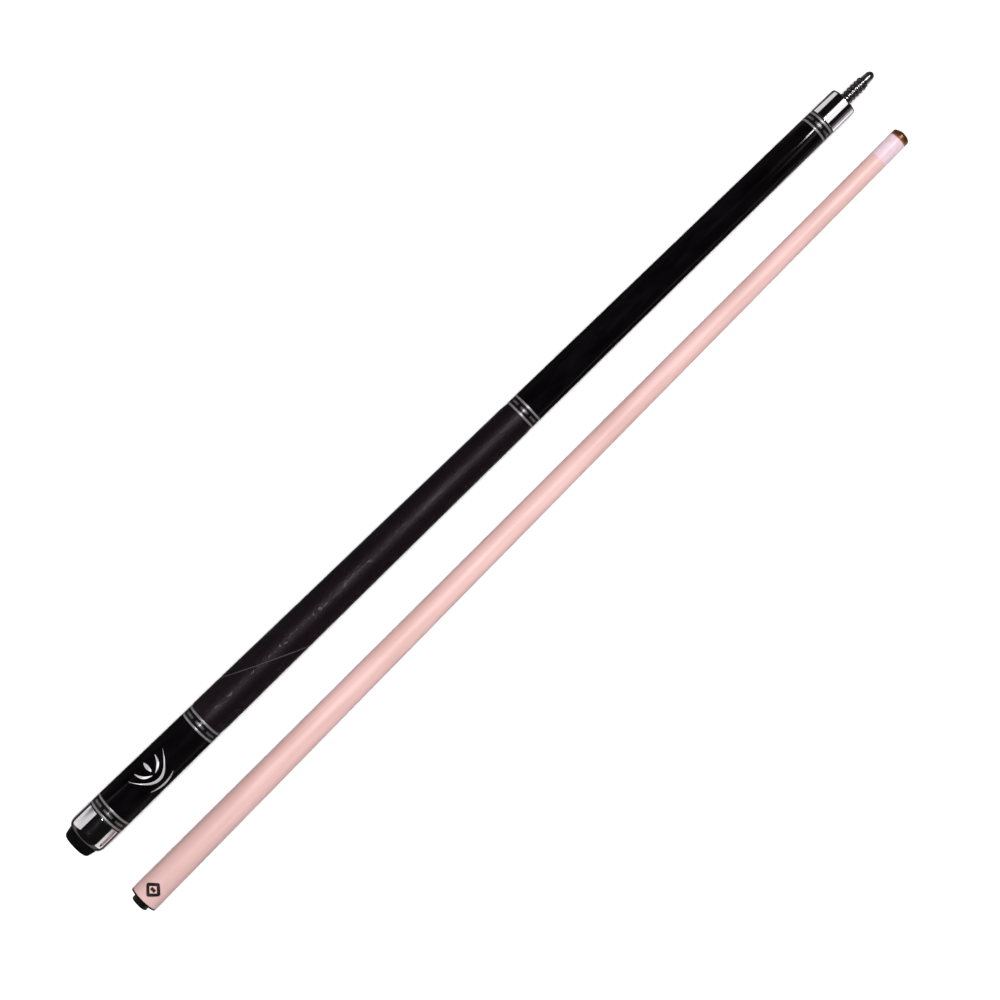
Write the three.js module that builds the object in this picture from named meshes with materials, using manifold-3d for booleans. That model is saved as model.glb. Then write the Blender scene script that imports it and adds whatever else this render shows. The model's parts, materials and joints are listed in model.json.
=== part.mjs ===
// Two-piece pool cue, unscrewed: the butt and the shaft lie side by side on a flat surface.
//
// Millimetres, +Z up. X runs along the butt from the rubber bumper to the joint pin, and the
// shaft lies on the -Y side. The origin is on the surface, under the middle of the whole cue.
// Each half is drawn along its own X axis and then tipped by half its taper, because a tapered
// piece lies on its side line, not on its axis. Places along the butt are measured from the end
// of the bumper, and places along the shaft from the plane where the two halves meet.

import * as THREE from 'three';
import { mergeVertices } from 'three/addons/utils/BufferGeometryUtils.js';
import Module from 'manifold-3d';

const wasm = await Module();
wasm.setup();

// ---- driving dimensions -------------------------------------------------------------------

const SEGMENTS = 24;            // facets round a turned piece, with a flat one underneath
const GLUE_LINE = 0.2;          // gap between pieces glued end to end
const SLIP_FIT = 0.2;           // radial gap between a tenon and what sits on it
const TAPER_STEP = 120;         // longest stretch of a taper drawn as one straight line

// Butt: lengths along it and diameters of its outside.
const BUTT_LENGTH = 730.4;      // bumper end to joint face
const BUMPER_SHOW = 8.2;        // rubber standing out behind the cap
const CAP_END = 28.2;
const RING_SET_STARTS = { a: 29.05, b: 115.2, c: 421.4, d: 700.2 };
const RING_SET_LENGTH = 8.5;
const SILVER_RING = 1.5;        // length of each bright ring in a set
const BUTT_TAPER = [[0, 29.9], [425, 23.7], [BUTT_LENGTH, 20.9]];
const GROOVE_DEPTH = 0.35;      // how far a black spacer lies below its neighbours
const WRAP_PROUD = 0.2;         // leather standing above the rings
const WRAP_THICKNESS = 1.3;

// Joint pin: a coarse rounded thread and a smooth bullet nose.
const PIN_LENGTH = 27.5;        // from the joint face to the tip of the nose
const PIN_THREAD_END = 18.4;    // from the joint face
const PIN_CREST = 9.0;
const PIN_ROOT = 7.2;
const PIN_PITCH = 3.175;
const PIN_NOSE = 6.4;
const PIN_SHANK = 8.0;
const PIN_BURIED = 30.4;        // length inside the forearm and the collar
const PILOT_DEPTH = 5.0;        // recess round the pin that the shaft's pilot enters

// Shaft: lengths from the joint plane and diameters of its outside.
const SHAFT_LENGTH = 738.2;
const PILOT_LENGTH = 4.5;
const PILOT_DIAMETER = 12.7;
const SOCKET_DIAMETER = 9.8;    // clears the crests of the pin
const SOCKET_DEPTH = 29;
const SHAFT_COLLAR = 1.0;
const FERRULE_START = 712.9;
const FERRULE_END = 731.8;
const PAD_THICKNESS = 0.9;
const TIP_DOME_RADIUS = 10;
const SHAFT_TAPER = [[0, 21.6], [370, 16.3], [SHAFT_LENGTH, 13.1]];

// Where the shaft lies beside the butt.
const SHAFT_PLACE = { x: 6.8, y: -58.35 };
const SHAFT_YAW = THREE.MathUtils.degToRad(1.056);

// Tenons and bores inside the butt, as radii.
const CAP_TENON = 11.2;
const SLEEVE_TENON = 11.8;
const FOREARM_TENON = 9.5;
const RING_TENON = 8.0;
const COLLAR_BORE = PILOT_DIAMETER / 2 + 0.4;
const WEIGHT_BORE = 6.6;
const WEIGHT_BORE_END = 118;
const STUD_RADIUS = 5.0;
const STUD_REACH = 30;          // how far the stud enters each half of the butt

// Bumper, its screw and the adjustable weight.
const SCREW_RADIUS = 2.9;
const SCREW_END = 33;
const SCREW_HEAD = { start: 5.2, end: 8.2, radius: 4.4 };
const BUMPER_RECESS = { radius: 5.2, floor: 9.4 };
const SPIGOT = { radius: 8.4, end: 12.6 };
const CAP_WALL_END = 13.0;
const BUSH = { start: 18, end: 33.8, radius: 6.0 };
const WEIGHT = { start: 46, end: 96, radius: 6.3 };
const HEX_KEY = 5.0;            // across the flats

// Ornament let into the sleeve: five pointed bows about one centre, seen from above. Each has
// the two ends of its chord, the height that it bows to one side, and its widest width.
const INLAY_CENTRE = { x: 74.4, y: -0.4 };
const INLAY_DEPTH = 1.0;
const INLAY_GAP = 0.3;
const INLAY_BOWS = [
  { start: [-16.2, 6.6], end: [16.2, 6.6], bow: -13.5, width: 2.0 },
  { start: [-9.6, 7.4], end: [-1.3, -1.9], bow: -1.9, width: 1.8 },
  { start: [9.6, 7.4], end: [1.3, -1.9], bow: 1.9, width: 1.8 },
  { start: [0, 8.6], end: [0, 0.6], bow: 0, width: 2.6 },
  { start: [-10.5, -9.2], end: [10.5, -9.2], bow: -2.2, width: 1.2 },
];

// ---- materials ----------------------------------------------------------------------------

const finish = (color, roughness, metalness = 0) =>
  new THREE.MeshStandardMaterial({ color, roughness, metalness });

const MATERIALS = {
  lacquer: finish(0x0a0809, 0.12),
  phenolic: finish(0x0c0b0c, 0.3),
  steel: finish(0xc9c6c8, 0.08, 1),
  silver: finish(0xb4b2b4, 0.25, 1),
  brass: finish(0xb08d45, 0.3, 1),
  leather: finish(0x241c20, 0.6),
  rubber: finish(0x0b0a0b, 0.75),
  maple: finish(0xe9c0b4, 0.4),
  ferrule: finish(0xf4e6e6, 0.3),
  fibre: finish(0x3a1c10, 0.6),
  tipLeather: finish(0x7a4520, 0.7),
};

// ---- geometry helpers ---------------------------------------------------------------------

// Radius at x of a quadratic taper through three [place, diameter] stations.
function taperRadius(stations, x) {
  const diameter = stations.reduce((sum, [place, value], i) => {
    const others = stations.filter((_, j) => j !== i);
    return sum + others.reduce((term, [other]) => term * (x - other) / (place - other), value);
  }, 0);
  return diameter / 2;
}

const buttRadius = (x) => taperRadius(BUTT_TAPER, x);
const shaftRadius = (x) => taperRadius(SHAFT_TAPER, x);

// Profile points [x, radius] along a taper, in steps no longer than TAPER_STEP.
function along(radiusAt, start, end) {
  const steps = Math.max(1, Math.ceil(Math.abs(end - start) / TAPER_STEP));
  return Array.from({ length: steps + 1 }, (_, i) => {
    const x = THREE.MathUtils.lerp(start, end, i / steps);
    return [x, radiusAt(x)];
  });
}

// Profile points of a quarter of an ellipse from one corner of its box to the other. It leaves
// the first point along the radius and arrives at the second along the axis.
function rounding([x0, r0], [x1, r1], steps = 4) {
  return Array.from({ length: steps + 1 }, (_, i) => {
    const angle = (Math.PI / 2) * (i / steps);
    return [x1 + (x0 - x1) * Math.cos(angle), r0 + (r1 - r0) * Math.sin(angle)];
  });
}

// One closed body: shared corners merged, slivers dropped, faces turned outwards.
function closed(geometry) {
  const bare = geometry.clone();
  bare.deleteAttribute('normal');
  bare.deleteAttribute('uv');
  const merged = mergeVertices(bare, 1e-4);
  const index = merged.getIndex().array;
  const triangles = [];
  for (let i = 0; i < index.length; i += 3) {
    const [a, b, c] = [index[i], index[i + 1], index[i + 2]];
    if (a !== b && b !== c && c !== a) triangles.push([a, b, c]);
  }
  const corner = (i) => new THREE.Vector3().fromBufferAttribute(merged.getAttribute('position'), i);
  const volume = triangles.reduce((sum, [a, b, c]) => sum + corner(a).dot(corner(b).cross(corner(c))), 0);
  merged.setIndex(triangles.flatMap(([a, b, c]) => (volume > 0 ? [a, b, c] : [a, c, b])));
  return merged;
}

// A turned body about the X axis. The profile is [x, radius] points, either closed on itself
// or starting and ending on the axis.
function turned(profile, segments = SEGMENTS) {
  const points = profile.map(([x, radius]) => new THREE.Vector2(radius, x));
  const lathe = new THREE.LatheGeometry(points, segments, Math.PI / segments);
  return closed(lathe.rotateZ(-Math.PI / 2));
}

// A turned tube: the outer profile from back to front, then the bore back again.
function tube(outer, bore) {
  return turned([...outer, ...bore, outer[0]]);
}

function toManifold(geometry) {
  return new wasm.Manifold(new wasm.Mesh({
    numProp: 3,
    vertProperties: Float32Array.from(geometry.getAttribute('position').array),
    triVerts: Uint32Array.from(geometry.getIndex().array),
  }));
}

function fromManifold(solid) {
  const { vertProperties, triVerts } = solid.getMesh();
  const geometry = new THREE.BufferGeometry();
  geometry.setAttribute('position', new THREE.BufferAttribute(vertProperties, 3));
  geometry.setIndex(new THREE.BufferAttribute(triVerts, 1));
  return geometry;
}

const cut = (geometry, tool) => fromManifold(toManifold(geometry).subtract(toManifold(tool)));
const common = (geometry, other) => fromManifold(toManifold(geometry).intersect(toManifold(other)));

// A hexagonal prism along X, as a cutter for a key socket.
function hexCutter(acrossFlats, start, end) {
  const hexagon = new THREE.CylinderGeometry(acrossFlats / Math.sqrt(3), acrossFlats / Math.sqrt(3), end - start, 6);
  return closed(hexagon.rotateZ(-Math.PI / 2).translate((start + end) / 2, 0, 0));
}

const butt = new THREE.Group();
const shaft = new THREE.Group();

function add(half, name, geometry, material) {
  const mesh = new THREE.Mesh(geometry, material);
  mesh.name = name;
  half.add(mesh);
}

// ---- butt end: bumper, screw, cap and weight ----------------------------------------------

function addButtEnd() {
  const { radius: recess, floor } = BUMPER_RECESS;
  const rim = 9.3;              // where the flat foot of the bumper starts to round over
  const bumperOuter = [
    [0, recess], ...rounding([0, rim], [1.4, 10.5]), [BUMPER_SHOW - GLUE_LINE, 12.3],
    [BUMPER_SHOW - GLUE_LINE, SPIGOT.radius], [SPIGOT.end, SPIGOT.radius],
  ];
  const screwHole = SCREW_RADIUS + 0.3;
  add(butt, 'bumper', tube(bumperOuter, [
    [SPIGOT.end, screwHole], [floor, screwHole], [floor, recess],
  ]), MATERIALS.rubber);

  const washer = { start: SCREW_HEAD.end + GLUE_LINE / 2, end: floor - GLUE_LINE / 2, radius: 4.9 };
  add(butt, 'bumper_washer', tube(
    [[washer.start, washer.radius], [washer.end, washer.radius]],
    [[washer.end, screwHole], [washer.start, screwHole]],
  ), MATERIALS.steel);

  const screw = turned([
    [SCREW_HEAD.start, 0], ...rounding([SCREW_HEAD.start, SCREW_HEAD.radius - 0.6],
      [SCREW_HEAD.start + 0.6, SCREW_HEAD.radius], 2),
    [SCREW_HEAD.end, SCREW_HEAD.radius], [SCREW_HEAD.end, SCREW_RADIUS],
    [SCREW_END - 1, SCREW_RADIUS], [SCREW_END, SCREW_RADIUS - 0.9], [SCREW_END, 0],
  ]);
  add(butt, 'bumper_screw', cut(screw, hexCutter(HEX_KEY, 4, SCREW_HEAD.start + 2)), MATERIALS.steel);

  add(butt, 'bumper_bush', tube(
    [[BUSH.start, BUSH.radius], [BUSH.end, BUSH.radius]],
    [[BUSH.end, SCREW_RADIUS + SLIP_FIT], [BUSH.start, SCREW_RADIUS + SLIP_FIT]],
  ), MATERIALS.brass);

  const shoulder = 13.7;        // where the cap reaches its full diameter
  const capBore = CAP_TENON + SLIP_FIT;
  const capOuter = [
    [BUMPER_SHOW, SPIGOT.radius + SLIP_FIT],
    ...rounding([BUMPER_SHOW, 12.4], [shoulder, buttRadius(shoulder)], 6),
    [CAP_END, buttRadius(CAP_END)],
  ];
  add(butt, 'butt_cap', tube(capOuter, [
    [CAP_END, capBore], [CAP_WALL_END, capBore], [CAP_WALL_END, SPIGOT.radius + SLIP_FIT],
  ]), MATERIALS.steel);

  const bolt = turned([
    [WEIGHT.start, 0], [WEIGHT.start, WEIGHT.radius - 0.8], [WEIGHT.start + 0.8, WEIGHT.radius],
    [WEIGHT.end - 0.8, WEIGHT.radius], [WEIGHT.end, WEIGHT.radius - 0.8], [WEIGHT.end, 0],
  ]);
  add(butt, 'weight_bolt', cut(bolt, hexCutter(HEX_KEY, WEIGHT.start - 1, WEIGHT.start + 8)), MATERIALS.steel);
}

// ---- ring sets and spacers ----------------------------------------------------------------

// A plain ring on a tenon, flush with the taper or sunk below it.
function addRing(name, start, end, tenon, material, sunk = 0) {
  const bore = tenon + SLIP_FIT;
  const outer = [[start, buttRadius(start) - sunk], [end, buttRadius(end) - sunk]];
  add(butt, name, tube(outer, [[end, bore], [start, bore]]), material);
}

function addRingSet(letter, tenon) {
  const start = RING_SET_STARTS[letter];
  const end = start + RING_SET_LENGTH;
  addRing(`ring_${letter}_rear`, start, start + SILVER_RING, tenon, MATERIALS.silver);
  addRing(`ring_${letter}_band`, start + SILVER_RING + GLUE_LINE, end - SILVER_RING - GLUE_LINE, tenon,
    MATERIALS.phenolic);
  addRing(`ring_${letter}_front`, end - SILVER_RING, end, tenon, MATERIALS.silver);
}

function addRings() {
  addRing('cap_spacer', CAP_END + GLUE_LINE, RING_SET_STARTS.a - GLUE_LINE, CAP_TENON,
    MATERIALS.phenolic, GROOVE_DEPTH);
  addRingSet('a', CAP_TENON);
  addRingSet('b', SLEEVE_TENON);
  addRingSet('c', FOREARM_TENON);
  addRingSet('d', RING_TENON);
  const gap = RING_SET_STARTS.d + RING_SET_LENGTH + GLUE_LINE;
  addRing('joint_spacer', gap, gap + 0.6, RING_TENON, MATERIALS.phenolic, GROOVE_DEPTH);
}

// ---- sleeve and its inlays ----------------------------------------------------------------

// Outline of a bow with blunt points, as [x, y] points round its edge.
function bowOutline({ start, end, bow, width }, steps = 10) {
  const chord = new THREE.Vector2(end[0] - start[0], end[1] - start[1]);
  const side = new THREE.Vector2(-chord.y, chord.x).normalize();
  const blunt = 0.18;           // share of the full width left at the points
  const edge = (sign) => Array.from({ length: steps + 1 }, (_, i) => {
    const t = i / steps;
    const swell = 4 * t * (1 - t);
    const offset = bow * swell + sign * (width / 2) * (blunt + (1 - blunt) * swell);
    return new THREE.Vector2(
      INLAY_CENTRE.x + start[0] + chord.x * t + side.x * offset,
      INLAY_CENTRE.y + start[1] + chord.y * t + side.y * offset,
    );
  });
  return [...edge(-1), ...edge(1).reverse()];
}

// The same outline moved outwards by a margin on every side.
function grown(outline, margin) {
  return outline.map((point, i) => {
    const next = outline[(i + 1) % outline.length];
    const previous = outline[(i + outline.length - 1) % outline.length];
    const along = next.clone().sub(previous).normalize();
    return new THREE.Vector2(point.x + along.y * margin, point.y - along.x * margin);
  });
}

// An upright prism over an outline, from inside the sleeve to above it.
function prism(outline) {
  const depth = 16;
  const block = new THREE.ExtrudeGeometry(new THREE.Shape(outline), { depth, bevelEnabled: false, steps: 1 });
  return closed(block.translate(0, 0, 4));
}

function addSleeve() {
  const start = RING_SET_STARTS.a + RING_SET_LENGTH + GLUE_LINE;
  const end = RING_SET_STARTS.b - GLUE_LINE;
  const bore = SLEEVE_TENON + SLIP_FIT;
  const shell = (over, under) => tube(
    along((x) => buttRadius(x) + over, start, end),
    along((x) => buttRadius(x) - under, end, start),
  );
  let sleeve = tube(along(buttRadius, start, end), [[end, bore], [start, bore]]);
  const pocketShell = shell(1, INLAY_DEPTH + INLAY_GAP);
  const inlayShell = shell(0, INLAY_DEPTH);
  INLAY_BOWS.forEach((bow, i) => {
    const outline = bowOutline(bow);
    sleeve = cut(sleeve, common(prism(grown(outline, INLAY_GAP)), pocketShell));
    add(butt, `sleeve_inlay_${i + 1}`, common(prism(outline), inlayShell), MATERIALS.silver);
  });
  add(butt, 'butt_sleeve', sleeve, MATERIALS.lacquer);
}

// ---- handle, wrap and forearm -------------------------------------------------------------

function addHandle() {
  const wrapStart = RING_SET_STARTS.b + RING_SET_LENGTH + GLUE_LINE;
  const wrapEnd = RING_SET_STARTS.c - GLUE_LINE;
  const seat = (x) => buttRadius(x) + WRAP_PROUD - WRAP_THICKNESS;
  const studHole = STUD_RADIUS + SLIP_FIT;
  const bushBore = BUSH.radius + SLIP_FIT;
  const coreStart = CAP_WALL_END + GLUE_LINE;
  const ringSetEnd = RING_SET_STARTS.a + RING_SET_LENGTH;
  const studEnd = wrapEnd - STUD_REACH;
  add(butt, 'handle_core', turned([
    [WEIGHT_BORE_END, 0], [WEIGHT_BORE_END, WEIGHT_BORE], [BUSH.end + 1, WEIGHT_BORE],
    [BUSH.end + 1, bushBore], [coreStart, bushBore], [coreStart, CAP_TENON],
    [ringSetEnd, CAP_TENON], [ringSetEnd, SLEEVE_TENON], [wrapStart, SLEEVE_TENON],
    ...along(seat, wrapStart, wrapEnd), [wrapEnd, studHole], [studEnd, studHole], [studEnd, 0],
  ]), MATERIALS.maple);

  const outside = (x) => buttRadius(x) + WRAP_PROUD;
  const turnIn = 0.5;           // rounding at each end of the leather
  const wrapBore = (x) => seat(x) + SLIP_FIT;
  add(butt, 'wrap', tube(
    [[wrapStart, outside(wrapStart) - turnIn], ...along(outside, wrapStart + turnIn, wrapEnd - turnIn),
      [wrapEnd, outside(wrapEnd) - turnIn]],
    along(wrapBore, wrapEnd, wrapStart),
  ), MATERIALS.leather);

  add(butt, 'handle_stud', turned([
    [studEnd + 1, 0], [studEnd + 1, STUD_RADIUS], [wrapEnd + STUD_REACH - 1, STUD_RADIUS],
    [wrapEnd + STUD_REACH - 1, 0],
  ]), MATERIALS.steel);
}

function addForearm() {
  const rear = RING_SET_STARTS.c;
  const front = RING_SET_STARTS.d - GLUE_LINE;
  const shoulder = rear + RING_SET_LENGTH + GLUE_LINE;
  const collarStart = RING_SET_STARTS.d + RING_SET_LENGTH + 1.0;
  const studHole = STUD_RADIUS + SLIP_FIT;
  const studEnd = rear + STUD_REACH;
  const tenonEnd = BUTT_LENGTH - PILOT_DEPTH;
  const pinHole = PIN_SHANK / 2 + SLIP_FIT;
  const pinStart = BUTT_LENGTH - PIN_BURIED;
  add(butt, 'forearm', turned([
    [studEnd, 0], [studEnd, studHole], [rear, studHole], [rear, FOREARM_TENON], [shoulder, FOREARM_TENON],
    ...along(buttRadius, shoulder, front), [front, RING_TENON], [collarStart - GLUE_LINE, RING_TENON],
    [collarStart - GLUE_LINE, COLLAR_BORE - SLIP_FIT], [tenonEnd, COLLAR_BORE - SLIP_FIT],
    [tenonEnd, pinHole], [pinStart - 1, pinHole], [pinStart - 1, 0],
  ]), MATERIALS.lacquer);

  const edge = 1.2;             // rounding of the collar's front edge
  add(butt, 'joint_collar', tube(
    [[collarStart, buttRadius(collarStart)],
      ...rounding([BUTT_LENGTH, buttRadius(BUTT_LENGTH) - edge], [BUTT_LENGTH - edge, buttRadius(BUTT_LENGTH)])
        .reverse()],
    [[BUTT_LENGTH, COLLAR_BORE], [collarStart, COLLAR_BORE]],
  ), MATERIALS.steel);
}

// The pin's thread is a rounded helical ridge: the radius swells and sinks once in every turn
// and every pitch, and the ridge dies away over half a pitch at each end.
function addPin() {
  const start = BUTT_LENGTH - PIN_BURIED;
  const threadStart = BUTT_LENGTH - PILOT_DEPTH;
  const threadEnd = BUTT_LENGTH + PIN_THREAD_END;
  const noseStart = threadEnd + 0.6;
  const end = BUTT_LENGTH + PIN_LENGTH;
  const mean = (PIN_CREST + PIN_ROOT) / 4;
  const height = (PIN_CREST - PIN_ROOT) / 4;
  const rows = Math.ceil((threadEnd - threadStart) / (PIN_PITCH / 6));
  const thread = Array.from({ length: rows + 1 }, (_, i) =>
    [THREE.MathUtils.lerp(threadStart, threadEnd, i / rows), mean]);
  const nose = rounding([end, 0], [end - 4.2, PIN_NOSE / 2], 5).reverse();
  const pin = turned([
    [start, 0], [start, PIN_SHANK / 2], [threadStart - 0.3, PIN_SHANK / 2],
    ...thread, [noseStart, PIN_NOSE / 2], ...nose,
  ], 14);
  const position = pin.getAttribute('position');
  for (let i = 0; i < position.count; i += 1) {
    const [x, y, z] = [position.getX(i), position.getY(i), position.getZ(i)];
    const fade = Math.min(x - threadStart, threadEnd - x) / (PIN_PITCH / 2);
    if (fade < -1e-3) continue;
    const phase = 2 * Math.PI * (x - threadStart) / PIN_PITCH - Math.atan2(z, y);
    const scale = (mean + height * Math.cos(phase) * Math.min(1, Math.max(0, fade))) / mean;
    position.setXYZ(i, x, y * scale, z * scale);
  }
  add(butt, 'joint_pin', pin, MATERIALS.steel);
}

// ---- shaft --------------------------------------------------------------------------------

function addShaft() {
  const pilot = PILOT_DIAMETER / 2;
  const socket = SOCKET_DIAMETER / 2;
  const body = 6.0;             // radius of the insert inside the wood
  const insertEnd = SOCKET_DEPTH + 2.5;
  const woodStart = SHAFT_COLLAR + GLUE_LINE;
  add(shaft, 'shaft_insert', turned([
    [SOCKET_DEPTH, 0], [SOCKET_DEPTH, socket], [-PILOT_LENGTH, socket],
    ...rounding([-PILOT_LENGTH, pilot - 0.9], [1.0 - PILOT_LENGTH, pilot]),
    [woodStart, pilot], [woodStart, body], [insertEnd, body], [insertEnd, 0],
  ]), MATERIALS.phenolic);

  add(shaft, 'shaft_collar', tube(
    [[0, shaftRadius(0)], [SHAFT_COLLAR, shaftRadius(0)]],
    [[SHAFT_COLLAR, pilot + SLIP_FIT], [0, pilot + SLIP_FIT]],
  ), MATERIALS.phenolic);

  const ferruleTenon = 4.3;
  const tenonEnd = FERRULE_END - 4;
  const insertBore = body + SLIP_FIT;
  add(shaft, 'shaft_wood', turned([
    [insertEnd + 0.5, 0], [insertEnd + 0.5, insertBore], [woodStart + GLUE_LINE, insertBore],
    ...along(shaftRadius, woodStart + GLUE_LINE, FERRULE_START), [FERRULE_START, ferruleTenon],
    [tenonEnd, ferruleTenon], [tenonEnd, 0],
  ]), MATERIALS.maple);

  const ferruleBore = ferruleTenon + SLIP_FIT;
  add(shaft, 'ferrule', turned([
    [tenonEnd + GLUE_LINE, 0], [tenonEnd + GLUE_LINE, ferruleBore], [FERRULE_START + GLUE_LINE, ferruleBore],
    [FERRULE_START + GLUE_LINE, shaftRadius(FERRULE_START)], [FERRULE_END, shaftRadius(FERRULE_END)],
    [FERRULE_END, 0],
  ]), MATERIALS.ferrule);

  const padStart = FERRULE_END + GLUE_LINE;
  const padEnd = padStart + PAD_THICKNESS;
  const tipRadius = shaftRadius(FERRULE_END);
  add(shaft, 'tip_pad', turned([
    [padStart, 0], [padStart, tipRadius], [padEnd, tipRadius], [padEnd, 0],
  ]), MATERIALS.fibre);

  const tipStart = padEnd + GLUE_LINE;
  const domeAngle = Math.asin(tipRadius / TIP_DOME_RADIUS);
  const dome = Array.from({ length: 6 }, (_, i) => {
    const angle = domeAngle * (1 - i / 5);
    return [SHAFT_LENGTH - TIP_DOME_RADIUS * (1 - Math.cos(angle)), TIP_DOME_RADIUS * Math.sin(angle)];
  });
  add(shaft, 'tip', turned([[tipStart, 0], [tipStart, tipRadius], ...dome]), MATERIALS.tipLeather);
}

// ---- assembly -----------------------------------------------------------------------------

// Tips a half nose down so that it lies on its two widest ends, given as [x, radius].
function layDown(half, [rearX, rearRadius], [frontX, frontRadius]) {
  const flat = Math.cos(Math.PI / SEGMENTS);
  const tilt = Math.atan((rearRadius - frontRadius) * flat / (frontX - rearX));
  half.rotation.y = tilt;
  half.position.z = rearRadius * flat * Math.cos(tilt) + rearX * Math.sin(tilt);
}

addButtEnd();
addRings();
addSleeve();
addHandle();
addForearm();
addPin();
addShaft();

const capWidest = 13.7;
const collarWidest = BUTT_LENGTH - 1.2;
layDown(butt, [capWidest, buttRadius(capWidest)], [collarWidest, buttRadius(collarWidest)]);
layDown(shaft, [0, shaftRadius(0)], [FERRULE_END + 3.3, shaftRadius(FERRULE_END)]);

const shaftPlace = new THREE.Group();
shaftPlace.position.set(SHAFT_PLACE.x, SHAFT_PLACE.y, 0);
shaftPlace.rotation.z = SHAFT_YAW;
shaftPlace.add(shaft);

const cue = new THREE.Group();
cue.add(butt, shaftPlace);
cue.updateMatrixWorld(true);
const footprint = new THREE.Box3().setFromObject(cue, true).getCenter(new THREE.Vector3());
cue.position.set(-footprint.x, -footprint.y, 0);

export default cue;
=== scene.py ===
import json
import math

import bmesh
import bpy
import numpy as np
from mathutils import Matrix, Vector


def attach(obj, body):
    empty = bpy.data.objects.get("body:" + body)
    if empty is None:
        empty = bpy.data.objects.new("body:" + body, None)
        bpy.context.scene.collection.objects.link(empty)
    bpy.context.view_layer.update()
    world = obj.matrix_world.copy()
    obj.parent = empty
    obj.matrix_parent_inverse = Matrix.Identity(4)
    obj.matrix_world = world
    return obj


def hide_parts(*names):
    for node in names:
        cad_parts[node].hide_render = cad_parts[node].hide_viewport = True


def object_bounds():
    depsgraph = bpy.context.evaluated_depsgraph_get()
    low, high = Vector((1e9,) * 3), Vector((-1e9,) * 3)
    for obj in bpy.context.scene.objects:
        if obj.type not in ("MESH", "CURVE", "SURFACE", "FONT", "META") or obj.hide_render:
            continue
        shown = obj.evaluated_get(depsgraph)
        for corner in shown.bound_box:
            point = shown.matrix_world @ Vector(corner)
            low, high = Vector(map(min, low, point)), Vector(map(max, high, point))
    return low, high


# A pool cue unscrewed into its two halves. Each half has a straight frame of its own: x runs
# along its axis from the rear, y to its left and z upwards. Lengths are in millimetres there.
# Each turned piece is made in that frame from the corners of the CAD node it stands for.

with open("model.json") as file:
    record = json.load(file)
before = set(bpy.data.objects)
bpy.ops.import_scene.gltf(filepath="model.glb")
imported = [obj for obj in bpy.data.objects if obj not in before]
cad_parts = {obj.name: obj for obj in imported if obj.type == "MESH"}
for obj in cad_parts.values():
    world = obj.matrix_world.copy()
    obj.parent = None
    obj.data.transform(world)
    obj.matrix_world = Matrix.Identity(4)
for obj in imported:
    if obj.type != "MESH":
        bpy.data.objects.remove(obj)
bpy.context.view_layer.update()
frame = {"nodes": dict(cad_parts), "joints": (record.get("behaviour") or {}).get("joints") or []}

MM = 0.001
SEGMENTS = 96            # facets round a turned piece
BEVEL_STEPS = 4
BEVEL_SHARE = 0.45       # most of an edge that a bevel at one of its ends takes up
TAPER_STEP = 12.0        # longest stretch of a taper drawn as one straight line
END_HOLD = 0.15          # how close to its end a taper has its extra row
SHARP = math.radians(42)     # edges that turn more stay crisp
NEAR = 0.05              # places or radii closer together than this are the same one
GLUE_LINE = 0.2          # gap that the CAD leaves between pieces glued end to end
HEAD_GAP = 0.1           # gap that it leaves between the screw's head and the washer
JOINT_PITCH = 3.175      # pitch of the joint's thread, eight turns to the inch
NODES = frame["nodes"]
JOINTS = {joint["name"]: joint for joint in frame["joints"]}
RING_SETS = ("a", "b", "c", "d")
ROUND = np.arange(SEGMENTS) * 2 * math.pi / SEGMENTS    # angles from straight up to the left


# ---- the two halves ----------------------------------------------------------

class Half:
    """The straight frame of one half, from a point on its axis and the axis itself."""

    def __init__(self, point, axis, rear_node):
        forward = Vector(axis).normalized()
        left = Vector((0, 0, 1)).cross(forward).normalized()
        self.matrix = Matrix((forward, left, forward.cross(left))).transposed().to_4x4()
        self.matrix.translation = Vector(point)
        rear = self.corners(rear_node)[:, 0].min()
        self.matrix.translation = Vector(point) + forward * rear * MM

    def corners(self, node):
        """The corners of a CAD node as [x, radius] rows."""
        world = np.array([vertex.co for vertex in NODES[node].data.vertices])
        inverse = np.array(self.matrix.inverted())
        local = (world @ inverse[:3, :3].T + inverse[:3, 3]) / MM
        return np.column_stack((local[:, 0], np.hypot(local[:, 1], local[:, 2])))

    def span(self, node, grow=0.0):
        """Where a CAD node starts and ends along the axis, with both ends moved out by grow."""
        x = self.corners(node)[:, 0]
        return float(x.min()) - grow, float(x.max()) + grow

    def radii(self, node, x):
        """The radii of a CAD node's corners at one place along the axis, smallest first."""
        corners = self.corners(node)
        near = corners[np.abs(corners[:, 0] - x) < NEAR]
        return sorted(set(np.round(near[:, 1], 2).tolist()))

    def rear_radii(self, node):
        return self.radii(node, self.span(node)[0])

    def places(self, node, radius):
        """Where along the axis a CAD node has corners of one radius, from the rear."""
        corners = self.corners(node)
        return sorted(corners[np.abs(corners[:, 1] - radius) < NEAR, 0].tolist())

    def fit_taper(self, points):
        """Keeps the smooth taper, a parabola, that fits [x, radius] points."""
        self.taper = np.polyfit(*np.transpose(points), 2)

    def radius(self, x):
        return np.polyval(self.taper, x)


def ring_corners(half):
    """The outer corners of the bright rings."""
    nodes = [f"ring_{letter}_{end}" for letter in RING_SETS for end in ("rear", "front")]
    return [(x, half.radii(node, x)[-1]) for node in nodes for x in half.span(node)]


def wood_corners(half):
    """The outer corners of the shaft's wood, which are wider than the ferrule."""
    corners = half.corners("shaft_wood")
    return corners[corners[:, 1] > half.corners("ferrule")[:, 1].max() - NEAR]


butt = Half(JOINTS["bumper_screw_turn"]["pos_m"], JOINTS["weight_slide"]["axis"], "bumper")
butt.fit_taper(ring_corners(butt))
shaft = Half(JOINTS["shaft_turn"]["pos_m"], JOINTS["shaft_turn"]["axis"], "shaft_collar")
shaft.fit_taper(wood_corners(shaft))


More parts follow.
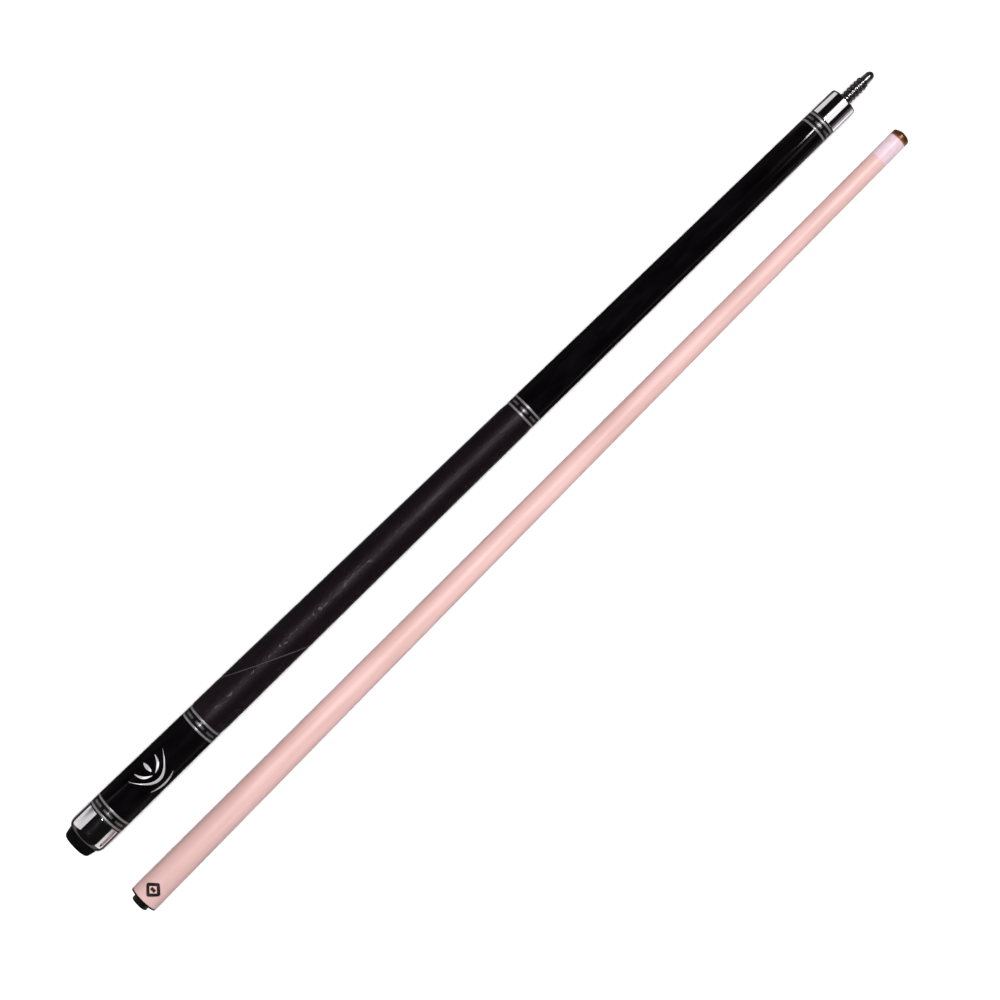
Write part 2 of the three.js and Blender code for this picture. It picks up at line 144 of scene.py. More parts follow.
# ---- meshes ------------------------------------------------------------------

def bevelled(corners):
    """A closed profile of (x, radius) or (x, radius, bevel) corners, with the bevels cut round."""
    points = []
    for i, (x, radius, *bevel) in enumerate(corners):
        here = np.array((x, radius), float)
        if not bevel:
            points.append((x, radius))
            continue
        before = np.array(corners[i - 1][:2], float) - here
        after = np.array(corners[(i + 1) % len(corners)][:2], float) - here
        first = here + before * min(bevel[0] / np.linalg.norm(before), BEVEL_SHARE)
        last = here + after * min(bevel[0] / np.linalg.norm(after), BEVEL_SHARE)
        for t in np.linspace(0, 1, BEVEL_STEPS + 1):
            point = (1 - t) ** 2 * first + 2 * t * (1 - t) * here + t * t * last
            points.append(tuple(point))
    return points


def quarter(start, end, steps=14):
    """A quarter of an ellipse that leaves start along the radius and reaches end along x."""
    turns = np.linspace(0, math.pi / 2, steps + 1)
    return [(end[0] + (start[0] - end[0]) * math.cos(turn),
             start[1] + (end[1] - start[1]) * math.sin(turn)) for turn in turns]


def chamfer(half, x, length, depth):
    """Profile points of a chamfer at the rear edge of a piece that starts at x."""
    return [(x, half.radius(x) - depth), (x + length, half.radius(x))]


def along(half, start, end):
    """Profile points along a half's taper, with one more close to each end, so that smooth
    shading carries none of a rounded edge into the taper."""
    steps = max(1, math.ceil(abs(end - start) / TAPER_STEP))
    places = np.linspace(start, end, steps + 1)
    hold = math.copysign(min(END_HOLD, abs(end - start) / 3), end - start)
    places = np.insert(places, (1, steps), (start + hold, end - hold))
    return [(x, half.radius(x)) for x in places]


def new_object(name, data):
    """An object in the scene that shows a mesh, a camera or a light."""
    thing = bpy.data.objects.new(name, data)
    bpy.context.scene.collection.objects.link(thing)
    return thing


def new_mesh(name, half, points, faces):
    """An object from points in mm of a half's frame, which it keeps as an attribute."""
    place = np.array(points, float)
    matrix = np.array(half.matrix)
    world = place * MM @ matrix[:3, :3].T + matrix[:3, 3]
    mesh = bpy.data.meshes.new(name)
    mesh.from_pydata(world.tolist(), [], faces)
    attribute = mesh.attributes.new("place", "FLOAT_VECTOR", "POINT")
    attribute.data.foreach_set("vector", place.astype(np.float32).ravel())
    face_outwards(mesh)
    mesh.shade_smooth()
    mesh.set_sharp_from_angle(angle=SHARP)
    return new_object(name, mesh)


def face_outwards(mesh):
    work = bmesh.new()
    work.from_mesh(mesh)
    bmesh.ops.recalc_face_normals(work, faces=work.faces)
    work.to_mesh(mesh)
    work.free()


def turned(name, half, rows):
    """A piece turned about the half's axis. A row is (x, radius), each a number or one value
    for every angle in ROUND; a radius of 0 is a point on the axis. The last row joins the
    first, unless both are on the axis."""
    points, rings = [], []
    for x, radius in rows:
        first = len(points)
        if np.isscalar(radius) and radius == 0:
            points.append((x, 0, 0))
            rings.append([first])
            continue
        xs = np.broadcast_to(x, ROUND.shape)
        radii = np.broadcast_to(radius, ROUND.shape)
        points += zip(xs, radii * np.sin(ROUND), radii * np.cos(ROUND))
        rings.append(range(first, first + SEGMENTS))
    faces = [face for a, b in zip(rings, rings[1:] + rings[:1]) for face in band(a, b)]
    return new_mesh(name, half, points, faces)


def band(a, b):
    """The faces between two rings of corners, either of which may be a single point."""
    if len(a) == 1:
        a, b = b, a
    if len(b) == 1:
        return [] if len(a) == 1 else [(a[k], a[k - 1], b[0]) for k in range(len(a))]
    return [(a[k - 1], a[k], b[k], b[k - 1]) for k in range(len(a))]


def plate(name, half, patches, lift, sink):
    """Thin plates that follow the surface. A patch is a grid of (x, angle) points; its top is
    lift above the taper, falling to it at the rim, and its underside is sink below."""
    points, faces = [], []
    for grid in patches:
        rows, columns = grid.shape[:2]
        base = len(points)
        for layer in (0, 1):
            for i, j in np.ndindex(rows, columns):
                x, angle = grid[i, j]
                rim = i in (0, rows - 1) or j in (0, columns - 1)
                rise = -sink if layer else (0 if rim else lift)
                radius = half.radius(x) + rise
                points.append((x, radius * math.sin(angle), radius * math.cos(angle)))
        faces += plate_faces(rows, columns, base)
    return new_mesh(name, half, points, faces)


def plate_faces(rows, columns, base):
    """The top, the underside and the rim of one plate whose corners start at base. The top is
    layer 0 and the underside is layer 1."""
    def corner(i, j, layer):
        return base + (layer * rows + i) * columns + j

    faces = [(corner(i, j, layer), corner(i + 1, j, layer), corner(i + 1, j + 1, layer),
              corner(i, j + 1, layer))
             for layer in (0, 1) for i in range(rows - 1) for j in range(columns - 1)]
    rim = [(i, 0) for i in range(rows)] + [(rows - 1, j) for j in range(1, columns)]
    rim += [(i, columns - 1) for i in range(rows - 2, -1, -1)]
    rim += [(0, j) for j in range(columns - 2, 0, -1)]
    for (i, j), (m, n) in zip(rim, rim[1:] + rim[:1]):
        faces.append((corner(i, j, 0), corner(m, n, 0), corner(m, n, 1), corner(i, j, 1)))
    return faces


def helix(rows, start, end, pitch, height, sharpness=1.0):
    """The rows with a right-handed ridge, height above them and its groove height below, from
    start to end. It fades in half a pitch, and a sharpness under 1 squares its wave."""
    raised = []
    for x, radius in rows:
        fade = min(x - start, end - x) / (pitch / 2)
        if fade <= 0:
            raised.append((x, radius))
            continue
        wave = np.cos(2 * math.pi * (x - start) / pitch + ROUND - math.pi / 2)
        wave = np.sign(wave) * np.abs(wave) ** sharpness
        raised.append((x, radius + height * min(1, fade) * wave))
    return raised


def level(start, end, radius, step):
    """Rows of one radius, no further apart than step."""
    steps = max(1, math.ceil(abs(end - start) / step))
    return [(x, radius) for x in np.linspace(start, end, steps + 1)]


def hexagon(across_flats):
    """The radius of a hexagonal key socket at every angle."""
    sixth = math.pi / 3
    return across_flats / 2 / np.cos(np.mod(ROUND, sixth) - sixth / 2)


def finish_piece(piece, body, slot, material, *nodes):
    """Gives a piece its body, its look and the CAD nodes it stands for. The slot argument is not
    used.
    """
    piece.data.materials.append(material)
    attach(piece, body)
    if nodes:
        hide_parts(*nodes)


def add_turned(node, half, rows, body, slot, material):
    """A turned piece that stands for the CAD node of its own name."""
    finish_piece(turned(node, half, rows), body, slot, material, node)


# ---- materials ---------------------------------------------------------------

def set_stops(ramp, stops):
    """Gives a colour ramp node its (position, colour) stops."""
    elements = ramp.color_ramp.elements
    while len(elements) < len(stops):
        elements.new(1.0)
    for element, (position, colour) in zip(elements, stops):
        element.position = position
        element.color = (*colour, 1)


class Look:
    """A node material under construction. Its patterns follow the local frame of a half, in mm,
    or the row frame for a CAD node, whose mesh carries no such attribute."""

    def __init__(self, name, cad_node=False, **constants):
        self.material = bpy.data.materials.new(name)
        self.material.use_nodes = True
        self.tree = self.material.node_tree
        self.shader = self.tree.nodes["Principled BSDF"]
        for socket, value in constants.items():
            self.shader.inputs[socket.replace("_", " ")].default_value = value
        self.place = self.cad_place() if cad_node else self.attribute("place", "Vector")

    def node(self, kind, **settings):
        node = self.tree.nodes.new("ShaderNode" + kind)
        for name, value in settings.items():
            setattr(node, name, value)
        return node

    def feed(self, socket, value):
        """Sets a socket to a number or a vector, or links an output to it."""
        if isinstance(value, bpy.types.NodeSocket):
            self.tree.links.new(value, socket)
        else:
            socket.default_value = value

    def attribute(self, name, output):
        """What the mesh keeps at its corners under a name."""
        node = self.node("Attribute", attribute_name=name, attribute_type="GEOMETRY")
        return node.outputs[output]

    def cad_place(self):
        coordinates = self.node("TexCoord").outputs["Object"]
        node = self.node("VectorMath", operation="SCALE")
        self.feed(node.inputs[0], coordinates)
        node.inputs["Scale"].default_value = 1 / MM
        return node.outputs["Vector"]

    def maths(self, operation, a, b):
        node = self.node("Math", operation=operation)
        self.feed(node.inputs[0], a)
        self.feed(node.inputs[1], b)
        return node.outputs[0]

    def times(self, a, b):
        return self.maths("MULTIPLY", a, b)

    def stretched(self, length, width, shift=0.0):
        """The place divided by a pattern's length along the axis and its width across it."""
        node = self.node("Mapping")
        self.feed(node.inputs["Vector"], self.place)
        node.inputs["Scale"].default_value = (1 / length, 1 / width, 1 / width)
        node.inputs["Location"].default_value = (shift, shift, shift)
        return node.outputs["Vector"]

    def noise(self, length, width, detail=2.0, shift=0.0, rough=0.5):
        """Noise from 0 to 1 with marks of about that length and width in mm."""
        node = self.node("TexNoise")
        self.feed(node.inputs["Vector"], self.stretched(length, width, shift))
        node.inputs["Scale"].default_value = 1.0
        node.inputs["Detail"].default_value = detail
        node.inputs["Roughness"].default_value = rough
        return node.outputs["Fac"]

    def cells(self, size):
        """Rounded cells of about that size in mm, from 0 at their middles."""
        node = self.node("TexVoronoi", feature="SMOOTH_F1")
        self.feed(node.inputs["Vector"], self.stretched(size, size))
        node.inputs["Scale"].default_value = 1.0
        return node.outputs["Distance"]

    def part(self, value, low, high, at_low=0.0, at_high=1.0):
        """The value from low to high carried over to another range, and held outside it."""
        node = self.node("MapRange", clamp=True)
        for socket, number in zip(node.inputs[:5], (value, low, high, at_low, at_high)):
            self.feed(socket, number)
        return node.outputs[0]

    def ramp(self, value, stops):
        """A colour ramp through (position, colour) stops."""
        node = self.node("ValToRGB")
        self.feed(node.inputs["Fac"], value)
        set_stops(node, stops)
        return node.outputs["Color"]

    def mix(self, factor, base, tint):
        """The base colour, an output, with a share of a tint mixed into it."""
        node = self.node("Mix", data_type="RGBA")
        self.feed(node.inputs["Factor"], factor)
        base_socket, tint_socket = node.inputs[6:8]      # the node's two colours
        self.feed(base_socket, base)
        self.feed(tint_socket, (*tint, 1))
        return node.outputs[2]

    def bump(self, height, depth, under=None):
        """A normal from a height of 0 to 1 that stands for depth in mm."""
        node = self.node("Bump")
        node.inputs["Distance"].default_value = depth * MM
        self.feed(node.inputs["Height"], height)
        if under is not None:
            self.feed(node.inputs["Normal"], under)
        return node.outputs["Normal"]

    def axis_place(self):
        node = self.node("SeparateXYZ")
        self.feed(node.inputs[0], self.place)
        return node.outputs["X"]

    def done(self, colour, roughness, normal=None):
        self.feed(self.shader.inputs["Base Color"], colour)
        self.feed(self.shader.inputs["Roughness"], roughness)
        if normal is not None:
            self.feed(self.shader.inputs["Normal"], normal)
        return self.material


def lacquer():
    """Black lacquer, polished, with soft smudges, the faintest orange peel and a trace of the
    grain under it."""
    look = Look("black_lacquer", Coat_Weight=0.26, Coat_Roughness=0.03, Specular_IOR_Level=0.004)
    black, smudged = (0.0014, 0.0011, 0.0014), (0.0034, 0.0029, 0.0034)
    smudges = look.noise(26, 7, detail=4)
    colour = look.ramp(smudges, [(0.35, black), (0.7, smudged)])
    roughness = look.part(smudges, 0.35, 0.7, 0.10, 0.34)
    peel = look.bump(look.noise(1.6, 1.6, detail=1), 0.0022)
    grain = look.bump(look.noise(30, 0.5, detail=3), 0.0035, peel)
    look.feed(look.shader.inputs["Coat Normal"], peel)
    return look.done(colour, roughness, grain)


def phenolic():
    """Black phenolic resin, turned and polished, with fine turning lines."""
    look = Look("black_phenolic", Specular_IOR_Level=0.14)
    black, clouded = (0.0028, 0.0023, 0.0026), (0.0065, 0.0058, 0.0063)
    lines = look.noise(0.16, 9, detail=2)
    clouds = look.noise(5, 2.5, detail=3)
    colour = look.ramp(clouds, [(0.3, black), (0.75, clouded)])
    roughness = look.part(lines, 0.3, 0.7, 0.16, 0.34)
    return look.done(colour, roughness, look.bump(lines, 0.004))


def metal(name, colours, finish, line, depth, cad_node=False, metallic=1.0):
    """Turned metal: lines round the axis, about line mm wide and depth mm deep, a few scratches
    along it, and cloudy wear that goes between two colours and two roughnesses."""
    look = Look(name, cad_node, Metallic=metallic)
    lines = look.noise(line, 14, detail=3, rough=0.65)
    clouds = look.noise(7, 4, detail=4, shift=3.1)
    scratches = look.part(look.noise(5, 0.10, detail=1, shift=7.7), 0.74, 0.80)
    wear = look.maths("ADD", look.times(lines, 0.45), look.times(clouds, 0.55))
    colour = look.ramp(wear, [(0.3, colours[0]), (0.7, colours[1])])
    roughness = look.part(wear, 0.3, 0.7, *finish)
    roughness = look.maths("ADD", roughness, look.times(scratches, 0.12))
    return look.done(colour, roughness, look.bump(lines, depth))


def zinc_steel(name, cad_node=False):
    """Steel plated with zinc, for the screw, its washer and what is hidden in the butt."""
    colours = (0.40, 0.40, 0.42), (0.58, 0.58, 0.60)
    return metal(name, colours, (0.26, 0.44), 0.25, 0.006, cad_node)


def rubber():
    """Moulded black rubber, greyed by dust on the foot that stands on the floor."""
    look = Look("black_rubber", Specular_IOR_Level=0.07)
    black, clouded = (0.0011, 0.0008, 0.0010), (0.0034, 0.0028, 0.0031)
    grey = (0.030, 0.028, 0.027)
    fine = look.noise(0.35, 0.35, detail=4)
    clouds = look.noise(4, 4, detail=4, shift=2.0)
    colour = look.ramp(clouds, [(0.3, black), (0.75, clouded)])
    foot = look.maths("SUBTRACT", 1.0, look.part(look.axis_place(), 0.05, 1.5))
    dust = look.times(foot, look.part(look.noise(1.1, 1.1, detail=5), 0.42, 0.68))
    colour = look.mix(look.times(dust, 0.35), colour, grey)
    roughness = look.part(clouds, 0.3, 0.75, 0.52, 0.74)
    return look.done(colour, roughness, look.bump(fine, 0.03))


def wrap_leather():
    """Dark satin leather: fine pebbles and creases, patches worn smoother, glossy specks that are
    also painted lighter as a painted glint, and the pale edge of the leather along the seam."""
    look = Look("wrap_leather", Specular_IOR_Level=0.17, Specular_Tint=(1.0, 0.80, 0.92, 1))
    dark, middle, worn = (0.0024, 0.0010, 0.0018), (0.0042, 0.0020, 0.0034), (0.0078, 0.0052, 0.0068)
    pebble, painted_glint, cut_edge = (0.0022, 0.0014, 0.0020), (0.020, 0.012, 0.016), (0.15, 0.135, 0.145)
    pebbles = look.part(look.cells(0.85), 0.05, 0.65)
    creases = look.noise(2.4, 1.3, detail=5, rough=0.6)
    patches = look.noise(24, 9, detail=4, shift=5.0)
    glossy_specks_with_painted_glint = look.part(look.noise(2.6, 1.5, detail=3, shift=8.0), 0.53, 0.64)
    colour = look.ramp(patches, [(0.3, dark), (0.52, middle), (0.75, worn)])
    colour = look.mix(look.times(pebbles, 0.45), colour, pebble)
    # Painted glint: the specks are mixed towards a lighter colour as well as made glossier.
    colour = look.mix(look.times(glossy_specks_with_painted_glint, 0.30), colour, painted_glint)
    colour = look.mix(look.times(look.attribute("seam", "Fac"), 0.9), colour, cut_edge)
    roughness = look.part(patches, 0.3, 0.75, 0.56, 0.42)
    roughness = look.maths("SUBTRACT", roughness, look.times(glossy_specks_with_painted_glint, 0.34))
    grain = look.bump(creases, 0.22)
    return look.done(colour, roughness, look.bump(pebbles, 0.07, grain))


def maple(cad_node=False):
    """Sealed maple: straight fibres, growth lines, short flecks and a thin burnished seal. It
    is darker over the stretch nearest the joint."""
    name = "maple_core" if cad_node else "maple_shaft"
    look = Look(name, cad_node, Coat_Weight=0.08, Coat_Roughness=0.25, Specular_IOR_Level=0.22)
    warm, pale = (0.670, 0.430, 0.405), (0.790, 0.525, 0.510)
    growth_line, fibre_line = (0.640, 0.370, 0.330), (0.660, 0.390, 0.350)
    fleck, joint_end = (0.500, 0.270, 0.225), (0.570, 0.365, 0.350)
    fibres = look.noise(26, 0.32, detail=4, rough=0.6)
    growth = look.noise(170, 2.1, detail=2, shift=4.0)
    clouds = look.noise(70, 9, detail=2, shift=9.0)
    flecks = look.part(look.noise(2.6, 0.16, detail=1, shift=1.5), 0.68, 0.78)
    colour = look.ramp(clouds, [(0.3, warm), (0.7, pale)])
    colour = look.mix(look.times(look.part(growth, 0.46, 0.62), 0.24), colour, growth_line)
    colour = look.mix(look.part(fibres, 0.35, 0.75, 0.0, 0.22), colour, fibre_line)
    colour = look.mix(look.times(flecks, 0.30), colour, fleck)
    colour = look.mix(look.part(look.axis_place(), 20, 190, 0.75, 0.0), colour, joint_end)
    roughness = look.part(fibres, 0.3, 0.7, 0.34, 0.46)
    return look.done(colour, roughness, look.bump(fibres, 0.006))


def ink():
    """Black printing on the wood, worn a little thin."""
    look = Look("printed_ink", Specular_IOR_Level=0.2)
    black, thin = (0.006, 0.004, 0.005), (0.06, 0.036, 0.033)
    wear = look.noise(0.5, 0.35, detail=3)
    colour = look.ramp(wear, [(0.5, black), (0.8, thin)])
    return look.done(colour, look.part(wear, 0.3, 0.7, 0.32, 0.50))


def ferrule():
    """White ferrule, satin, with faint turning lines and a trace of handling."""
    look = Look("ferrule_white", Subsurface_Weight=0.12, Subsurface_Scale=0.002,
                Specular_IOR_Level=0.14)
    handled, white = (0.670, 0.505, 0.560), (0.740, 0.575, 0.630)
    lines = look.noise(0.2, 10, detail=2)
    clouds = look.noise(6, 3, detail=4)
    colour = look.ramp(clouds, [(0.3, handled), (0.65, white)])
    return look.done(colour, look.part(lines, 0.3, 0.7, 0.24, 0.38), look.bump(lines, 0.004))


def fibre():
    """Vulcanised fibre, amber-brown, in thin sheets."""
    look = Look("vulcanised_fibre")
    brown, amber = (0.16, 0.060, 0.018), (0.34, 0.155, 0.050)
    sheets = look.noise(0.14, 30, detail=2)
    colour = look.ramp(sheets, [(0.35, brown), (0.65, amber)])
    return look.done(colour, look.part(sheets, 0.3, 0.7, 0.42, 0.60), look.bump(sheets, 0.02))


def tip_leather():
    """Pressed layers of brown leather, burnished, with a fine nap."""
    look = Look("tip_leather", Specular_IOR_Level=0.9, Specular_Tint=(1.0, 0.62, 0.45, 1))
    dark, brown, tan = (0.013, 0.0032, 0.0013), (0.042, 0.011, 0.004), (0.140, 0.044, 0.014)
    layers = look.noise(0.42, 40, detail=1)
    nap = look.noise(0.3, 0.3, detail=5, rough=0.7)
    colour = look.ramp(layers, [(0.36, dark), (0.5, brown), (0.62, tan)])
    colour = look.mix(look.part(nap, 0.4, 0.7, 0.0, 0.25), colour, (0.15, 0.052, 0.018))
    return look.done(colour, look.part(nap, 0.3, 0.7, 0.20, 0.34), look.bump(nap, 0.03))


LACQUER = lacquer()
PHENOLIC = phenolic()
STEEL = metal("polished_steel", ((0.62, 0.59, 0.61), (0.72, 0.69, 0.71)), (0.045, 0.10),
              line=0.22, depth=0.0006)
PIN_STEEL = metal("pin_steel", ((0.24, 0.22, 0.23), (0.34, 0.32, 0.33)), (0.18, 0.26),
                  line=0.20, depth=0.001)
SILVER = metal("nickel_silver", ((0.18, 0.165, 0.175), (0.28, 0.265, 0.275)), (0.30, 0.42),
               line=0.18, depth=0.003, metallic=0.4)
DULL_SILVER = metal("dull_silver", ((0.080, 0.074, 0.080), (0.18, 0.17, 0.175)), (0.20, 0.32),
                    line=0.18, depth=0.003, metallic=0.6)
INLAY_SILVER = metal("inlay_silver", ((0.48, 0.46, 0.47), (0.64, 0.62, 0.63)), (0.30, 0.44),
                     line=0.30, depth=0.004, metallic=0.3)
SCREW_STEEL = zinc_steel("zinc_steel")
RUBBER = rubber()
WRAP_LEATHER = wrap_leather()
MAPLE = maple()
INK = ink()
FERRULE = ferrule()
FIBRE = fibre()
TIP_LEATHER = tip_leather()


# ---- butt end ----------------------------------------------------------------

def add_bumper():
    """The rubber foot, with its recess for the screw and the spigot that enters the cap."""
    start, end = butt.span("bumper")
    recess, foot = butt.rear_radii("bumper")
    hole, spigot = butt.radii("bumper", end)
    floor = butt.places("bumper", recess)[-1]
    face = butt.span("butt_cap")[0] - GLUE_LINE
    flank = butt.corners("bumper")[:, 1].max()
    edge = foot + 1.2             # radius at which the rounded foot turns into the flank
    profile = bevelled([
        (start, recess, 0.5), (start + 0.12, foot - 1.5), (start + 0.35, edge, 1.6),
        (face, flank, 0.35), (face, spigot), (end, spigot, 0.6), (end, hole), (floor, hole),
        (floor, recess, 0.4),
    ])
    add_turned("bumper", butt, profile, "bumper", "rubber", RUBBER)
    rib = turned("bumper_rib", butt, moulded_rib(start, (recess + foot) / 2))
    finish_piece(rib, "bumper", "rubber", RUBBER)


def moulded_rib(start, middle):
    """A low ring moulded on the foot, half sunk in it."""
    size = 0.42
    turns = np.linspace(0, 2 * math.pi, 12, endpoint=False)
    return [(start + size + size * math.cos(t), middle + size * math.sin(t)) for t in turns]


def add_washer():
    """The washer under the screw's head."""
    start, end = butt.span("bumper_washer")
    hole, rim = butt.rear_radii("bumper_washer")
    profile = bevelled([(start, hole, 0.15), (start, rim, 0.25), (end, rim, 0.25), (end, hole, 0.15)])
    add_turned("bumper_washer", butt, profile, "bumper", "screw_steel", SCREW_STEEL)


def add_screw():
    """A socket screw: knurled head, hexagonal key socket and a metric thread."""
    start, end = butt.span("bumper_screw")
    head_end = butt.span("bumper_washer")[0] - HEAD_GAP
    shank, head = butt.radii("bumper_screw", head_end)
    socket_corner = butt.rear_radii("bumper_screw")[0]
    socket_floor = butt.places("bumper_screw", 0)[0]
    key = hexagon(socket_corner * math.sqrt(3))
    lead_in = np.maximum(key, socket_corner + 0.15)
    socket = [(socket_floor + 0.8, 0), (socket_floor, key), (start + 0.35, key), (start, lead_in)]
    rim = [(start, head - 0.6), (start + 0.18, head - 0.25), (start + 0.6, head - 0.1)]
    ridges, swing = 32, 0.16
    knurl = head - swing + swing * np.cos(ridges * ROUND)
    sides = [(start + 0.75, knurl), (head_end - 0.5, knurl)]
    under = [(head_end - 0.3, head - 0.05), (head_end, head - 0.1), (head_end, shank)]
    pitch, depth, thread_end = 1.0, 0.27, end - 1.0
    thread = helix(level(head_end + 0.5, thread_end, shank - depth, pitch / 8),
                   head_end + 1.0, thread_end, pitch, depth, 0.7)
    point = [(end - 0.9, shank - 0.5), (end, shank - 1.1), (end, 0)]
    rows = [*socket, *rim, *sides, *under, *thread, *point]
    add_turned("bumper_screw", butt, rows, "bumper_screw", "screw_steel", SCREW_STEEL)


def add_cap():
    """The polished cap, its shoulder rounded over towards the bumper."""
    start, end = butt.span("butt_cap")
    hole, lip = butt.rear_radii("butt_cap")
    bore = butt.radii("butt_cap", end)[0]
    wall = butt.places("butt_cap", hole)[-1]
    shoulder = min(x for x, radius in butt.corners("butt_cap")
                   if abs(radius - butt.radius(x)) < NEAR)
    profile = [(start, hole + 0.25), (start, lip - 0.4),
               *quarter((start, lip), (shoulder, butt.radius(shoulder))),
               *along(butt, shoulder + 1, end - 0.08), (end, butt.radius(end) - 0.06), (end, bore),
               (wall, bore), (wall, hole), (start + 0.25, hole)]
    add_turned("butt_cap", butt, profile, "butt", "polished_steel", STEEL)


# ---- rings -------------------------------------------------------------------

def add_spacer(node):
    """A thin black ring at the bottom of a groove; it fills the glue lines on both sides."""
    bore, outside = butt.rear_radii(node)
    start, end = butt.span(node, GLUE_LINE)
    profile = [(start, bore), (start, outside), (end, outside), (end, bore)]
    add_turned(node, butt, profile, "butt", "phenolic", PHENOLIC)


def add_bright_ring(node):
    """A bright ring, slightly crowned, so that its edges fall away from the surface."""
    start, end = butt.span(node)
    bore = butt.rear_radii(node)[0]
    fall, flatness = 0.10, 2.5
    crown = [(x, butt.radius(x) - fall * abs(2 * (x - start) / (end - start) - 1) ** flatness)
             for x in np.linspace(start, end, 11)]
    add_turned(node, butt, [(start, bore), *crown, (end, bore)], "butt", "silver", SILVER)


def add_ring_band(letter):
    """The black band between two bright rings, with bright dashes let into its middle."""
    node = f"ring_{letter}_band"
    bore = butt.rear_radii(node)[0]
    start, end = butt.span(node, GLUE_LINE)
    sunk, bevel = 0.05, 0.12
    profile = bevelled([(start, bore), (start, butt.radius(start) - sunk, bevel),
                        (end, butt.radius(end) - sunk, bevel), (end, bore)])
    add_turned(node, butt, profile, "butt", "phenolic", PHENOLIC)
    finish_piece(ring_dashes(letter, (start + end) / 2), "butt", "silver", DULL_SILVER)


def ring_dashes(letter, middle):
    """Bright dashes that cover a share of the way round a band."""
    dashes, width, share = 8, 1.7, 0.74
    step = 2 * math.pi / dashes
    columns = np.linspace(-0.5, 0.5, 13) * step * share
    rows = middle + np.linspace(-0.5, 0.5, 7) * width
    patches = [np.array([[(x, k * step + column) for column in columns] for x in rows])
               for k in range(dashes)]
    return plate(f"ring_{letter}_dashes", butt, patches, lift=0.02, sink=0.5)


# ---- sleeve and its inlays ---------------------------------------------------

# The two ends of each bow's chord about the ornament's centre, the height that it bows to one
# side, and its widest width. x is along the butt and y is across it, seen from above.
BOWS = [
    ((-16.2, 6.6), (16.2, 6.6), -13.5, 2.0),
    ((-9.6, 7.4), (-1.3, -1.9), -1.9, 1.8),
    ((9.6, 7.4), (1.3, -1.9), 1.9, 1.8),
    ((0, 8.6), (0, 0.6), 0, 2.6),
    ((-10.5, -9.2), (10.5, -9.2), -2.2, 1.2),
]
BOW_TIP = 0.18           # share of a bow's width left at its blunt points
BOW_CENTRE_Y = -0.4


def bow_patch(centre_x, start, end, bow, width):
    """A grid of (x, angle) points over one bow, from point to point and from side to side."""
    start, end = np.array(start), np.array(end)
    chord = end - start
    side = np.array((-chord[1], chord[0])) / np.linalg.norm(chord)
    grid = []
    for t in np.linspace(0, 1, 41):
        swell = 4 * t * (1 - t)
        half_width = width / 2 * (BOW_TIP + (1 - BOW_TIP) * swell)
        row = []
        for share in np.linspace(-1, 1, 7):
            x, y = start + chord * t + side * (bow * swell + share * half_width)
            x, y = x + centre_x, y + BOW_CENTRE_Y
            row.append((x, math.asin(y / butt.radius(x))))
        grid.append(row)
    return np.array(grid)


def add_sleeve():
    """The lacquered sleeve, and the silver bows let into it. The CAD's upright bow says where
    the middle of the ornament is."""
    start, end = butt.span("butt_sleeve", GLUE_LINE)
    bore = butt.rear_radii("butt_sleeve")[0]
    bevel = 0.25
    profile = bevelled([(start, bore), (start, butt.radius(start), bevel),
                        *along(butt, start + 0.3, end - 0.3), (end, butt.radius(end), bevel),
                        (end, bore)])
    add_turned("butt_sleeve", butt, profile, "butt", "lacquer", LACQUER)
    centre_x = sum(butt.span("sleeve_inlay_4")) / 2
    for i, bow in enumerate(BOWS, 1):
        name = f"sleeve_inlay_{i}"
        inlay = plate(name, butt, [bow_patch(centre_x, *bow)], lift=0.03, sink=0.6)
        finish_piece(inlay, "butt", "silver", INLAY_SILVER, name)


# ---- wrap and forearm --------------------------------------------------------

SEAM_MIDDLE = 180.0      # the wrap's two lengths of leather meet on an oblique cut round here
SEAM_REACH = 30.0        # how far the cut runs each way between one side and the other


def wrap_places(start, end):
    """Places along the wrap, close together at the seam."""
    coarse = np.linspace(start, end, 60)
    fine = SEAM_MIDDLE + np.linspace(-1.5, 1.5, 25)
    apart = np.abs(coarse - SEAM_MIDDLE) > 1.6
    return np.sort(np.concatenate((coarse[apart], fine)))


def bell(x, width):
    """A smooth bump of height 1 about 0."""
    return math.exp(-(x / width) ** 2)


def wrap_rows(start, end, proud, turn_in):
    """Rows sheared to follow the oblique seam, and how much of the seam is on each. The seam is
    a shallow groove between two lips, and the leather sways a little and turns in at its ends."""
    rows, marks = [], []
    for place in wrap_places(start, end):
        side = (place - start) / (SEAM_MIDDLE - start) if place < SEAM_MIDDLE else (
            (end - place) / (end - SEAM_MIDDLE))
        x = place - SEAM_REACH * side * np.sin(ROUND)
        off = place - SEAM_MIDDLE
        seam = 0.045 * bell(abs(off) - 0.5, 0.3) - 0.10 * bell(off, 0.16)
        near = min(place - start, end - place)
        fall = turn_in * (1 - math.sqrt(max(0, 1 - (1 - min(1, near / turn_in)) ** 2)))
        sway = 0.02 * np.sin(place / 3.7 + 2 * ROUND) * np.sin(place / 11.0 + ROUND)
        rows.append((x, butt.radius(x) + proud + seam - fall + sway * min(1, near)))
        marks.append(bell(off, 0.34))
    return rows, marks


def add_wrap():
    """The leather wrap, proud of the taper, with its seam marked for its look."""
    start, end = butt.span("wrap")
    turn_in = 0.5
    outside = butt.radii("wrap", start + turn_in)[-1]
    bore = butt.rear_radii("wrap")[0]
    proud = outside - butt.radius(start + turn_in) - 0.03
    rows, marks = wrap_rows(start, end, proud, turn_in)
    inside = [(end, bore - 2), (start, bore)]
    wrap = turned("wrap", butt, [*rows, *inside])
    seam = wrap.data.attributes.new("seam", "FLOAT", "POINT")
    seam.data.foreach_set("value", np.repeat([*marks, 0, 0], SEGMENTS).astype(np.float32))
    finish_piece(wrap, "butt", "leather_wrap", WRAP_LEATHER, "wrap")


